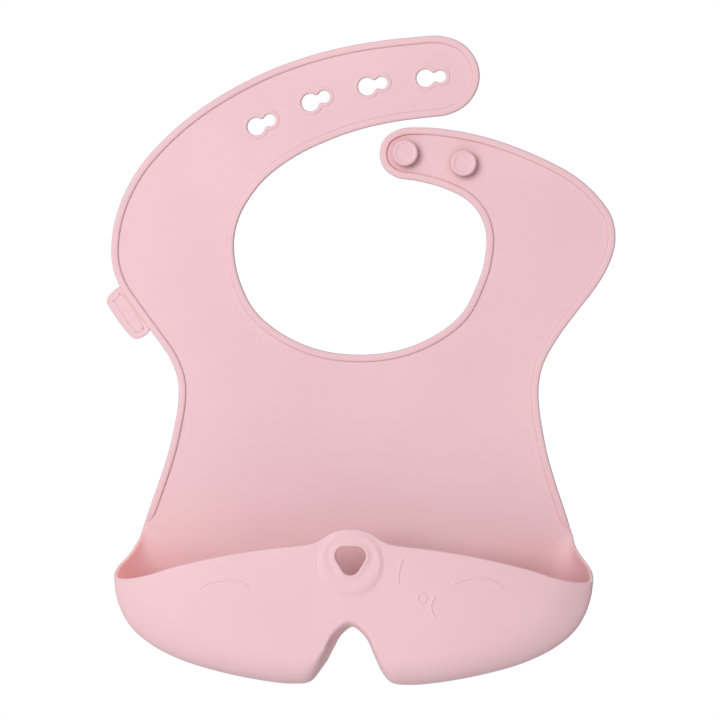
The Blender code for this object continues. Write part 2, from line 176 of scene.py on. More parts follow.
# Stud from its root in the strap to the middle of its cap: radius and height.
STUD_PROFILE = [(0, 1.3), (4.4, 1.3), (3.9, 1.62), (3.35, 1.95), (3.05, 2.5), (2.95, 3.3),
                (3.1, 3.75), (3.6, 3.95), (5.1, 4.0), (5.55, 4.12), (5.88, 4.4), (6.0, 4.8),
                (6.0, 5.5), (5.93, 5.85), (5.72, 6.12), (5.45, 6.28), (5.15, 6.37),
                (4.85, 6.37), (4.55, 6.28), (4.2, 6.17), (3.6, 6.12), (2.0, 6.1), (0, 6.1)]

TAG_OUTLINE = [(-111.2, -20.2), (-115.6, -22.6), (-118, -26.6), (-116.6, -29.8),
               (-107.8, -41.8), (-104.5, -44.2), (-101.2, -43.4), (-97.6, -39.8)]
TAG_T = 1.4
TAG_EDGE_W = 1.4        # rounded edge of the tag
TAG_EDGE_SOFT = 0.5
TAG_FRAME_IN = 3.2      # raised frame, this far inside the tag's outline
TAG_FRAME_W = 0.8
TAG_FRAME_T = 0.5
TAG_FRAME_SOFT = 0.24


# ---------------------------------------------------------------- curves
def spline_at(points, u):
    """Point at parameter u on a centripetal Catmull-Rom curve through the points."""
    last = len(points) - 1
    i = min(int(u), last - 1)
    p1 = np.array(points[i], float)
    p2 = np.array(points[i + 1], float)
    p0 = np.array(points[i - 1], float) if i > 0 else 2 * p1 - p2
    p3 = np.array(points[i + 2], float) if i + 2 <= last else 2 * p2 - p1
    t0 = 0.0
    t1 = t0 + math.sqrt(np.linalg.norm(p1 - p0))
    t2 = t1 + math.sqrt(np.linalg.norm(p2 - p1))
    t3 = t2 + math.sqrt(np.linalg.norm(p3 - p2))
    t = t1 + (t2 - t1) * (u - i)
    a1 = (p0 * (t1 - t) + p1 * (t - t0)) / (t1 - t0)
    a2 = (p1 * (t2 - t) + p2 * (t - t1)) / (t2 - t1)
    a3 = (p2 * (t3 - t) + p3 * (t - t2)) / (t3 - t2)
    b1 = (a1 * (t2 - t) + a2 * (t - t0)) / (t2 - t0)
    b2 = (a2 * (t3 - t) + a3 * (t - t1)) / (t3 - t1)
    return (b1 * (t2 - t) + b2 * (t - t1)) / (t2 - t1)


def even_steps(points, step):
    """Parameters spaced evenly by length, about `step` mm apart."""
    fine = [k / 20 for k in range(20 * (len(points) - 1) + 1)]
    line = np.array([spline_at(points, u) for u in fine])
    run = np.concatenate(([0.0], np.cumsum(np.linalg.norm(np.diff(line, axis=0), axis=1))))
    count = max(2, int(round(run[-1] / step)))
    return list(np.interp(np.linspace(0, run[-1], count + 1), run, fine))


def smoothstep(low, high, value):
    """0 below low and 1 above high, with a soft rise between them."""
    t = np.clip((value - low) / (high - low), 0.0, 1.0)
    return t * t * (3 - 2 * t)


def arc(centre, radius, start, end, steps):
    """Points round an arc, from one angle to another in degrees."""
    out = []
    for k in range(steps + 1):
        angle = math.radians(start + (end - start) * k / steps)
        out.append((centre[0] + radius * math.cos(angle), centre[1] + radius * math.sin(angle)))
    return out


def keyhole(pair, grow):
    """Figure-of-eight outline: a large hole for the cap joined to a small one."""
    (bx, bz), (sx, sz) = pair
    heading = math.degrees(math.atan2(sz - bz, sx - bx))
    big = KEYHOLE_BIG_R + grow
    small = KEYHOLE_SMALL_R + grow
    apart = math.hypot(sx - bx, sz - bz)
    crossing = (apart ** 2 + big ** 2 - small ** 2) / (2 * apart)
    meet = math.sqrt(max(big ** 2 - crossing ** 2, 0.0))
    waist = max(KEYHOLE_WAIST + grow, meet + 0.1)
    open_big = math.degrees(math.asin(waist / big))
    open_small = math.degrees(math.asin(waist / small))
    first = arc((bx, bz), big, heading + open_big, heading + 360 - open_big, 40)
    second = arc((sx, sz), small, heading - 180 + open_small, heading + 180 - open_small, 30)
    return first + second


def hang_hole(grow):
    """Rounded triangle that points down."""
    left, right, low = HANG_HOLE
    outline = arc(low, HANG_HOLE_R + grow, 208, 332, 16)
    outline += arc(right, HANG_HOLE_R + grow, -28, 90, 16)
    outline += arc(left, HANG_HOLE_R + grow, 90, 208, 16)
    return outline


# ---------------------------------------------------------------- the whole outline
class Outline:
    """One smooth line round the bib, with its inward directions. A place is a number that
    counts along the line's points, with a fraction between two of them."""

    def __init__(self):
        points = [p for _, stretch in OUTLINE for p in stretch]
        self.u = even_steps(points, EDGE_STEP)
        self.line = np.array([spline_at(points, u) for u in self.u])
        along = np.gradient(self.line, axis=0)
        along /= np.linalg.norm(along, axis=1)[:, None]
        self.inward = np.stack((-along[:, 1], along[:, 0]), axis=1)
        self.starts = {}
        count = 0
        for name, stretch in OUTLINE:
            self.starts[name] = count
            count += len(stretch)
        self.total = count - 1

    def between(self, name, point, normal, second=False):
        """Where the named stretch crosses the line through point with that normal."""
        found = []
        low = self.starts[name]
        names = [n for n, _ in OUTLINE]
        order = names.index(name)
        high = self.starts[names[order + 1]] if order + 1 < len(names) else self.total
        side = (self.line - np.array(point)) @ np.array(normal)
        for k in range(len(self.u) - 1):
            if low - 0.01 <= self.u[k] <= high + 0.01 and side[k] * side[k + 1] <= 0:
                found.append(k + side[k] / (side[k] - side[k + 1]))
        return found[-1] if second else found[0]

    def at(self, k, offset=0.0):
        """The point at a place, moved inward by an offset."""
        i = min(int(k), len(self.u) - 2)
        f = k - i
        point = self.line[i] * (1 - f) + self.line[i + 1] * f
        inward = self.inward[i] * (1 - f) + self.inward[i + 1] * f
        return point + inward * offset

    def places(self, a, b):
        """Places from a to b, one at each point of the line between them."""
        return [a] + list(range(int(a) + 1, int(math.ceil(b)))) + [b]


edge = Outline()


# ---------------------------------------------------------------- nodes and materials
def linear(code):
    """sRGB hex to a linear colour."""
    channels = [int(code[k:k + 2], 16) / 255 for k in (1, 3, 5)]
    return [c / 12.92 if c <= 0.04045 else ((c + 0.055) / 1.055) ** 2.4 for c in channels] + [1.0]


def add(tree, kind, inputs=None, **settings):
    """Add a node, set it up, and give its inputs values or links."""
    node = tree.nodes.new(kind)
    for key, value in settings.items():
        setattr(node, key, value)
    for key, value in (inputs or {}).items():
        socket = node.inputs[key]
        if isinstance(value, bpy.types.NodeSocket):
            tree.links.new(value, socket)
        else:
            socket.default_value = value
    return node


def noise_scale(size):
    """Scale of a noise whose features are that many millimetres apart."""
    return 1 / (size * MM)


def moulded_silicone(name, base, tint, roughness, grain_depth):
    """Liquid silicone rubber from a sandblasted steel mould: matte and faintly powdery,
    with a soft bloom over large areas and a fine even grain that only breaks up highlights, and
    painted shade that deepens its colour in hollows."""
    material = bpy.data.materials.new(name)
    material.use_nodes = True
    tree = material.node_tree
    tree.nodes.clear()
    where = add(tree, "ShaderNodeTexCoord").outputs["Object"]
    # the pigment drifts a little from patch to patch
    cloud = add(tree, "ShaderNodeTexNoise", {"Vector": where, "Scale": noise_scale(62.5),
                                             "Detail": 2.0, "Roughness": 0.45})
    drift = add(tree, "ShaderNodeMapRange", {"Value": cloud.outputs["Fac"], "From Min": 0.32,
                                             "From Max": 0.68})
    colour = add(tree, "ShaderNodeMix", {"Factor": drift.outputs["Result"],
                                         6: linear(base), 7: linear(tint)},
                 data_type="RGBA")
    # mould grain is about 0.1 mm; drawn at 0.5 mm so that it can show at all
    grain = add(tree, "ShaderNodeTexNoise", {"Vector": where, "Scale": noise_scale(0.5),
                                             "Detail": 2.0, "Roughness": 0.6})
    # slow waviness of the soft sheet, with its crests this far apart
    wave = add(tree, "ShaderNodeTexNoise", {"Vector": where, "Scale": noise_scale(18.18),
                                            "Detail": 1.0, "Roughness": 0.4})
    fine = add(tree, "ShaderNodeBump", {"Height": grain.outputs["Fac"], "Strength": 0.2,
                                        "Distance": grain_depth * MM})
    broad = add(tree, "ShaderNodeBump", {"Height": wave.outputs["Fac"], "Strength": 0.5,
                                         "Distance": 0.12 * MM, "Normal": fine.outputs["Normal"]})
    gloss = add(tree, "ShaderNodeMapRange", {"Value": cloud.outputs["Fac"], "From Min": 0.3,
                                             "From Max": 0.7, "To Min": roughness - 0.05,
                                             "To Max": roughness + 0.05})
    # painted shade: an ambient occlusion node deepens and warms the colour inside hollows and
    # creases, standing in for their shade and for light shining through the rubber, which is
    # drawn opaque
    hollow_shade = add(tree, "ShaderNodeAmbientOcclusion", {"Distance": 50 * MM}, samples=8)
    depth = add(tree, "ShaderNodeMapRange", {"Value": hollow_shade.outputs["AO"], "From Min": 0.1,
                                             "From Max": 0.85})
    # the painted shade's warm deeper colour, strongest where a hollow is most closed in,
    # multiplied into the pigment below
    deep = add(tree, "ShaderNodeMix", {"Factor": depth.outputs["Result"],
                                       6: linear("#EBC0BA"), 7: linear("#FFFFFF")},
               data_type="RGBA")
    body = add(tree, "ShaderNodeMix", {"Factor": 1.0, 6: colour.outputs[2],
                                       7: deep.outputs[2]},
               data_type="RGBA", blend_type="MULTIPLY")
    shader = add(tree, "ShaderNodeBsdfPrincipled",
                 {"Base Color": body.outputs[2], "Roughness": gloss.outputs["Result"],
                  "IOR": 1.41, "Specular IOR Level": 0.4, "Sheen Weight": 0.12,
                  "Sheen Roughness": 0.5, "Normal": broad.outputs["Normal"]})
    add(tree, "ShaderNodeOutputMaterial", {"Surface": shader.outputs["BSDF"]})
    material.diffuse_color = linear(base)
    return material


SKIN = moulded_silicone("matte_moulded_silicone", "#E9C2C5", "#E6BEC3", 0.56, 0.05)
EDGE = moulded_silicone("border_silicone", "#E9C1C4", "#E7BEC3", 0.50, 0.04)
STUD = moulded_silicone("stud_silicone", "#E8C0C4", "#E6BDC3", 0.46, 0.03)


# ---------------------------------------------------------------- making pieces
def finish_mesh(name, bm, material, smooth=40, turn_out=True):
    """An object in metres from a mesh in millimetres, sharp only past the smooth angle."""
    bmesh.ops.remove_doubles(bm, verts=bm.verts, dist=0.001)
    if turn_out:
        bmesh.ops.recalc_face_normals(bm, faces=bm.faces)
    for vert in bm.verts:
        vert.co *= MM
    mesh = bpy.data.meshes.new(name)
    bm.to_mesh(mesh)
    bm.free()
    mesh.shade_smooth()
    mesh.set_sharp_from_angle(angle=math.radians(smooth))
    obj = bpy.data.objects.new(name, mesh)
    bpy.context.collection.objects.link(obj)
    mesh.materials.append(material)
    return obj


def inside(points, loops):
    """Which points lie inside the loops. A loop inside another is a hole in it."""
    points = np.asarray(points, float)
    result = np.zeros(len(points), bool)
    for loop in loops:
        a = np.asarray(loop, float)
        b = np.roll(a, -1, axis=0)
        for (x0, z0), (x1, z1) in zip(a, b):
            if z0 == z1:
                continue
            spans = (z0 > points[:, 1]) != (z1 > points[:, 1])
            cross = x0 + (points[:, 1] - z0) * (x1 - x0) / (z1 - z0)
            result ^= spans & (points[:, 0] < cross)
    return result


def resample(loop, step):
    """A closed loop with its long sides cut into steps."""
    out = []
    count = len(loop)
    for k in range(count):
        a = np.array(loop[k], float)
        b = np.array(loop[(k + 1) % count], float)
        steps = max(1, int(round(np.linalg.norm(b - a) / step)))
        out += [a + (b - a) * j / steps for j in range(steps)]
    return out


def sheet(bm, outline, holes=(), back=SHEET_BACK, front=-SHEET_T, spacing=2.6):
    """A flat sheet with an even net of points inside, so that it can bend."""
    loops = [resample(loop, spacing * 0.8) for loop in (outline, *holes)]
    points = [Vector(p) for loop in loops for p in loop]
    edges = []
    start = 0
    for loop in loops:
        count = len(loop)
        edges += [(start + k, start + (k + 1) % count) for k in range(count)]
        start += count
    rim = np.array([tuple(p) for p in points])
    low, high = rim.min(axis=0), rim.max(axis=0)
    net = []
    row = 0
    z = low[1] + spacing
    while z < high[1]:
        x = low[0] + spacing * (0.5 if row % 2 else 1.0)
        while x < high[0]:
            net.append((x, z))
            x += spacing
        z += spacing * 0.87     # height of a triangle with even sides
        row += 1
    if net:
        net = np.array(net)
        net = net[inside(net, loops)]
        gaps = np.linalg.norm(net[:, None, :] - rim[None, :, :], axis=2).min(axis=1)
        points += [Vector(p) for p in net[gaps > spacing * 0.5]]
    verts, _, faces, *_ = delaunay_2d_cdt(points, edges, [], 0, 1e-5)
    flat = np.array([tuple(v) for v in verts])
    centres = np.array([flat[list(f)].mean(axis=0) for f in faces])
    keep = inside(centres, loops)
    # points that lie in a straight line give triangles with no area, which are left out
    for k, face in enumerate(faces):
        a, b, c = flat[list(face)]
        keep[k] &= abs((b[0] - a[0]) * (c[1] - a[1]) - (b[1] - a[1]) * (c[0] - a[0])) > 1e-3
    top = [bm.verts.new((v[0], front, v[1])) for v in verts]
    bottom = [bm.verts.new((v[0], back, v[1])) for v in verts]
    used = {}
    made = []
    for face, kept in zip(faces, keep):
        if not kept:
            continue
        made.append(bm.faces.new([top[k] for k in face]))
        made.append(bm.faces.new([bottom[k] for k in reversed(face)]))
        for a, b in zip(face, face[1:] + face[:1]):
            key = (min(a, b), max(a, b))
            used[key] = used.get(key, 0) + 1
    for (a, b), count in used.items():
        if count == 1:
            made.append(bm.faces.new((top[a], top[b], bottom[b], bottom[a])))
    bmesh.ops.recalc_face_normals(bm, faces=made)
    for vert in top + bottom:
        if not vert.link_faces:
            bm.verts.remove(vert)


def rounded_cord_tree():
    """Sweeps a soft-cornered bar along the object's own edges: border, welts, lips, lines."""
    tree = bpy.data.node_groups.new("rounded_cord", "GeometryNodeTree")
    face = tree.interface
    face.new_socket("Path", in_out="INPUT", socket_type="NodeSocketGeometry")
    for name, value in (("Width", BORDER_W * MM), ("Height", BORDER_T * MM), ("Lift", 0.0),
                        ("Corner", BORDER_SOFT * MM)):
        socket = face.new_socket(name, in_out="INPUT", socket_type="NodeSocketFloat")
        socket.default_value = value
    socket = face.new_socket("Sides", in_out="INPUT", socket_type="NodeSocketInt")
    socket.default_value = CORD_ROUND
    face.new_socket("Material", in_out="INPUT", socket_type="NodeSocketMaterial")
    face.new_socket("Cord", in_out="OUTPUT", socket_type="NodeSocketGeometry")
    given = add(tree, "NodeGroupInput")
    taper = add(tree, "GeometryNodeInputNamedAttribute", {"Name": "taper"}, data_type="FLOAT")
    curve = add(tree, "GeometryNodeMeshToCurve", {"Mesh": given.outputs["Path"]})
    upright = add(tree, "GeometryNodeSetCurveNormal", {"Curve": curve.outputs[0]}, mode="Z_UP")
    bar = add(tree, "GeometryNodeCurvePrimitiveQuadrilateral",
              {"Width": given.outputs["Width"], "Height": given.outputs["Height"]},
              mode="RECTANGLE")
    soft_bar = add(tree, "GeometryNodeFilletCurve",
                   {"Curve": bar.outputs[0], "Count": given.outputs["Sides"],
                    "Radius": given.outputs["Corner"], "Limit Radius": True}, mode="POLY")
    # a profile's own up points down in a level sweep
    down = add(tree, "ShaderNodeMath", {0: given.outputs["Lift"], 1: -1.0},
               operation="MULTIPLY")
    lift = add(tree, "ShaderNodeCombineXYZ", {"Y": down.outputs["Value"]})
    oval = add(tree, "GeometryNodeTransform",
               {"Geometry": soft_bar.outputs[0], "Translation": lift.outputs[0]})
    swept = add(tree, "GeometryNodeCurveToMesh",
                {"Curve": upright.outputs[0], "Profile Curve": oval.outputs[0],
                 "Scale": taper.outputs["Attribute"], "Fill Caps": True})
    turned = add(tree, "GeometryNodeTransform",
                 {"Geometry": swept.outputs[0], "Rotation": (math.pi / 2, 0.0, 0.0)})
    soft = add(tree, "GeometryNodeSetShadeSmooth", {0: turned.outputs[0]})
    real = add(tree, "GeometryNodeRealizeInstances", {"Geometry": soft.outputs[0]})
    coloured = add(tree, "GeometryNodeSetMaterial",
                   {"Geometry": real.outputs[0], "Material": given.outputs["Material"]})
    add(tree, "NodeGroupOutput", {"Cord": coloured.outputs[0]})
    return tree


CORD_TREE = rounded_cord_tree()


def cord_mesh(path, closed, width, height, lift, corner, material, taper=None):
    """A swept bar as a plain mesh, standing in XZ, with its place in its points."""
    mesh = bpy.data.meshes.new("path")
    verts = [(p[0] * MM, p[1] * MM, 0.0) for p in path]
    count = len(verts)
    edges = [(k, (k + 1) % count) for k in range(count if closed else count - 1)]
    mesh.from_pydata(verts, edges, [])
    attribute = mesh.attributes.new("taper", "FLOAT", "POINT")
    attribute.data.foreach_set("value", taper if taper is not None else [1.0] * count)
    guide = bpy.data.objects.new("path", mesh)
    bpy.context.collection.objects.link(guide)
    modifier = guide.modifiers.new("cord", "NODES")
    modifier.node_group = CORD_TREE
    values = {"Width": width * MM, "Height": height * MM, "Lift": lift * MM,
              "Corner": corner * MM, "Sides": CORD_ROUND, "Material": material}
    for item in CORD_TREE.interface.items_tree:
        if item.item_type == "SOCKET" and item.in_out == "INPUT" and item.name in values:
            modifier[item.identifier] = values[item.name]
    depsgraph = bpy.context.evaluated_depsgraph_get()
    result = bpy.data.meshes.new_from_object(guide.evaluated_get(depsgraph))
    bpy.data.objects.remove(guide, do_unlink=True)
    return result


def add_cord(bm, path, closed, width, height, lift, corner, taper=None):
    """A swept bar in the border's material, added to a mesh in millimetres."""
    cord = cord_mesh(path, closed, width, height, lift, corner, EDGE, taper)
    part = bmesh.new()
    part.from_mesh(cord)
    bmesh.ops.remove_doubles(part, verts=part.verts, dist=1e-7)
    bmesh.ops.recalc_face_normals(part, faces=part.faces)
    for vert in part.verts:
        vert.co /= MM
    for face in part.faces:
        face.material_index = 1
    part.to_mesh(cord)
    part.free()
    cord.materials.clear()
    bm.from_mesh(cord)
    bpy.data.meshes.remove(cord)


def fade(point):
    """The border narrows and sinks into the sheet just above the pocket."""
    return FADE_LEFT + (1 - FADE_LEFT) * float(smoothstep(FADE_LOW, FADE_HIGH, point[1]))


def border(bm, a, b):
    """The rounded border from place a to place b on the outline."""
    places = edge.places(a, b)
    scale = [fade(edge.at(k)) for k in places]
    path = [edge.at(k, BORDER_W / 2 * t) for k, t in zip(places, scale)]
    add_cord(bm, path, False, BORDER_W, BORDER_T, BORDER_T / 2, BORDER_SOFT, scale)


def skin_piece(stretches, holes=(), extra=()):
    """A stretch of sheet with its borders. Stretches are (from, to) places on the outline,
    and extra points close the sheet where it has no border."""
    bm = bmesh.new()
    outline = []
    for a, b in stretches:
        places = edge.places(a, b)
        outline += [edge.at(k, SHEET_TUCK * fade(edge.at(k))) for k in places]
    outline += list(extra)
    sheet(bm, outline, holes)
    for a, b in stretches:
        border(bm, a, b)
    return bm


def finish_skin(name, bm):
    """An object whose sheet is in the skin's material and its bars in the border's."""
    obj = finish_mesh(name, bm, SKIN, turn_out=False)
    obj.data.materials.append(EDGE)
    return obj


# ---------------------------------------------------------------- seams of the skin
def radial(angle):
    """Normal of the line through the neck's centre at that angle."""
    turn = math.radians(angle)
    return (-math.sin(turn), math.cos(turn))


# The skin is cut a little before each fold, where both pieces still lie on the same body.
NECK_CENTRE = (0, 0)
LEVEL = (0.0, 1.0)
SHOULDER_CUT = (0, -24)
WAIST_CUT = (0, -66)
STUD_CUT = radial(10)
KEY_CUT = radial(165)
waist_r = edge.between("yoke_right", WAIST_CUT, LEVEL)
shoulder_r = edge.between("yoke_right", SHOULDER_CUT, LEVEL)
stud_out = edge.between("stud_base_outer", NECK_CENTRE, STUD_CUT)
stud_in = edge.between("stud_base_inner", NECK_CENTRE, STUD_CUT)
neck_r = edge.between("neck", SHOULDER_CUT, LEVEL)
neck_l = edge.between("neck", SHOULDER_CUT, LEVEL, second=True)
key_in = edge.between("key_base_inner", NECK_CENTRE, KEY_CUT)
key_out = edge.between("key_base_outer", NECK_CENTRE, KEY_CUT)
shoulder_l = edge.between("yoke_left", SHOULDER_CUT, LEVEL)
waist_l = edge.between("yoke_left", WAIST_CUT, LEVEL)
LAST = len(edge.u) - 1.0


# ---------------------------------------------------------------- panel and straps
bm = skin_piece(((waist_r, shoulder_r), (neck_r, neck_l), (shoulder_l, waist_l)))
upper_skin = finish_skin("upper_skin", bm)
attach(upper_skin, "upper")
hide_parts("yoke_panel", "neck_bead", "yoke_bead_right", "yoke_bead_left")

bm = skin_piece(((neck_l, key_in), (key_out, shoulder_l)))
key_shoulder = finish_skin("key_shoulder_skin", bm)
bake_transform(key_shoulder)
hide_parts("key_strap_base", "key_strap_base_bead_inner",
            "key_strap_base_bead_outer")

bm = skin_piece(((key_in, key_out),), holes=[keyhole(k, WELT_LINE) for k in KEYHOLES])
for pair in KEYHOLES:
    ring = resample(keyhole(pair, WELT_LINE), RING_STEP)
    add_cord(bm, ring, True, WELT_W, WELT_T, WELT_T / 2, WELT_SOFT)
key_tip = finish_skin("key_tip_skin", bm)
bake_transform(key_tip)
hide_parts("key_strap_end", "key_strap_end_bead", "keyhole_welt_1", "keyhole_welt_2",
            "keyhole_welt_3", "keyhole_welt_4")

bm = skin_piece(((shoulder_r, stud_out), (stud_in, neck_r)))
stud_shoulder = finish_skin("stud_shoulder_skin", bm)
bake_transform(stud_shoulder)
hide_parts("stud_strap_base", "stud_strap_base_bead_outer",
            "stud_strap_base_bead_inner")

bm = skin_piece(((stud_out, stud_in),))
stud_tip = finish_skin("stud_tip_skin", bm)
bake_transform(stud_tip)
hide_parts("stud_strap_end", "stud_strap_end_bead")


# ---------------------------------------------------------------- studs
def turned(bm, profile, x, z, steps=64):
    """A closed round body round a level axis. Its profile's two ends lie on the axis."""
    rings = []
    for radius, height in profile:
        turns = [2 * math.pi * k / steps for k in range(steps if radius else 1)]
        rings.append([bm.verts.new((x + radius * math.cos(turn), -height,
                                    z + radius * math.sin(turn))) for turn in turns])
    for a, b in zip(rings, rings[1:]):
        for k in range(steps):
            corners = (a[k % len(a)], a[(k + 1) % len(a)], b[(k + 1) % len(b)], b[k % len(b)])
            bm.faces.new(list(dict.fromkeys(corners)))


def stud(name, node):
    """Mushroom stud: a round cap with a dished top, on a neck that swells into the strap."""
    low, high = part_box(node)
    x = (low[0] + high[0]) / 2 / MM
    z = (low[2] + high[2]) / 2 / MM
    bm = bmesh.new()
    turned(bm, STUD_PROFILE, x, z)
    obj = finish_mesh(name, bm, STUD, smooth=50)
    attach(obj, "stud_tip")
    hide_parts(node)


stud("tip_stud", "stud_1")
stud("inner_stud", "stud_2")


# ---------------------------------------------------------------- pocket
def mirrored(points):
    """A line from the side to the middle, carried on to the other side."""
    return list(points) + [(-x, z) for x, z in reversed(points[:-1])]


def front_depth(x):
    """Depth of the pocket's front, which falls back towards its sides."""
    return FRONT_Y + FRONT_FALL * (abs(x) / FRONT_HALF) ** 3


def rim_height():
    """The front's rim as two lists: its x in rising order, and its height at each."""
    line = np.array([spline_at(RIM, u) for u in np.linspace(0, len(RIM) - 1, 400)])
    order = np.argsort(line[:, 0])
    return line[order, 0], line[order, 1]


RIM_X, RIM_Z = rim_height()

# Plain raised line work on the front, each line a short smooth curve.
MOTIF = (
    [(-69, -156.6), (-63.5, -152.6), (-56.5, -150.8), (-49.5, -151.6), (-43, -155)],
    [(43, -151.6), (49.5, -148.8), (56.5, -148), (63.5, -149.8), (69, -153.6)],
    [(24, -138.2), (21.8, -143), (21, -148.4), (21.6, -153)],
    arc((31.5, -157.0), 2.0, 0, 360, 16),
    arc((41.5, -161.0), 6.0, 112, 250, 8),
)
MOTIF_W = 1.7
MOTIF_T = 1.4
MOTIF_SOFT = 0.68
MOTIF_SINK = 0.44       # how far a line's middle lies behind the front
MOTIF_END = 0.35        # size of an open line's ends, which grow to full over 6 points


def distance_to(line, points):
    """Shortest way from each point to a dense line."""
    best = np.full(len(points), 1e9)
    for k in range(0, len(line), 64):
        chunk = line[k:k + 64]
        gap = np.linalg.norm(points[:, None, :] - chunk[None, :, :], axis=2).min(axis=1)
        best = np.minimum(best, gap)
    return best


def front_relief(x, z):
    """How far the front stands out at each point: the boss and the moat round its lip."""
    points = np.stack((x, z), axis=1)
    radius = np.hypot(x - BOSS_C[0], z - BOSS_C[1])
    relief = BOSS_H * (1 - smoothstep(BOSS_TOP_R, BOSS_R, radius))
    away = distance_to(np.array(resample(hang_hole(0.0), 0.4)), points)
    moat = np.exp(-((away - MOAT_OUT) / MOAT_HALF) ** 2)
    relief -= MOAT_T * moat * (radius < MOAT_LIMIT_R)
    return relief


def side_rim():
    """The side rim as three lists: its depths, and its x and height at each."""
    line = np.array([spline_at(SIDE_RIM, u) for u in np.linspace(0, len(SIDE_RIM) - 1, 300)])
    return -line[:, 1], line[:, 0], line[:, 2]


def pocket_lines():
    """The pocket's four lines cut into the same number of places."""
    plate, back, wide, front = (mirrored(line) for line in (PLATE, BACK, WIDE, FRONT))
    us = even_steps(wide, COLUMN_STEP)
    p, b, w, f = (np.array([spline_at(line, u) for u in us]) for line in
                  (plate, back, wide, front))
    b += (w - b) * (CORNER_R + BACK_Y) / (BACK_Y - WIDE_Y)
    f[0], f[-1] = front[0], front[-1]
    away = p - b
    flat = p + away / np.linalg.norm(away, axis=1)[:, None] * FLAT_LAP
    return us, flat, p, b, w, f


def lean(x, y):
    """The soft pocket hangs a touch lower on its left."""
    return LEAN * np.minimum(x, 0.0) * smoothstep(LEAN_FROM, LEAN_FULL, -y)


def pocket_surface():
    """Outer face of the pocket as rows of points, from the flat back round to the rim, and
    the number of the row at which the front begins."""
    us, flat, p, b, w, f = pocket_lines()
    deep, rim_x, rim_z = side_rim()
    run = np.linspace(0, COLUMN_STEP * (len(us) - 1), len(us))
    near = np.minimum(run, run[::-1])
    pull = (1 - smoothstep(0, SIDE_FADE, near))[:, None]
    side = np.where(np.arange(len(us)) < len(us) / 2, 1.0, -1.0)

    def row(xz, y, end):
        """One row, with its two ends drawn to the side rim."""
        gap = np.array(end) - np.array((xz[0, 0], xz[0, 1]))
        shift = np.stack((gap[0] * side, np.full(len(us), gap[1])), axis=1) * pull
        xz = xz + shift
        return np.stack((xz[:, 0], y, xz[:, 1]), axis=1)

    def rim_at(y):
        """The side rim's x and height at a depth."""
        return np.interp(-y, deep, rim_x), np.interp(-y, deep, rim_z)

    rows = [np.stack((flat[:, 0], np.full(len(us), SHEET_BACK), flat[:, 1]), axis=1)]
    for turn in np.radians(np.linspace(0, 90, CORNER_ROWS)):
        y = SHEET_BACK - CORNER_R * (1 - math.cos(turn)) ** CORNER_POWER
        rows.append(row(p + (b - p) * math.sin(turn), np.full(len(us), y), rim_at(y)))
    back_y = SHEET_BACK - CORNER_R
    for share in np.linspace(0, 1, WALL_ROWS)[1:]:
        y = back_y + (WIDE_Y - back_y) * share
        rows.append(row(b + (w - b) * share, np.full(len(us), y), rim_at(y)))
    depth = front_depth(f[:, 0])
    far = rim_at(WIDE_Y)
    for turn in np.radians(np.linspace(0, 90, TURN_ROWS))[1:]:
        xz = w + (f - w) * (1 - math.cos(turn))
        y = WIDE_Y + (front_depth(xz[:, 0]) - WIDE_Y) * math.sin(turn)
        end_x = far[0] + (f[0, 0] - far[0]) * (1 - math.cos(turn))
        end = (end_x, np.interp(end_x, RIM_X, RIM_Z))
        rows.append(row(xz, y, end))
    corner = len(rows) - 1
    top = np.interp(np.abs(f[:, 0]), RIM_X, RIM_Z)
    for share in np.linspace(0, 1, FRONT_ROWS)[1:]:
        z = f[:, 1] + (top - f[:, 1]) * share
        rows.append(np.stack((f[:, 0], depth, z), axis=1))
    rows = np.array(rows)
    rows[:, :, 2] += lean(rows[:, :, 0], rows[:, :, 1])
    return rows, corner


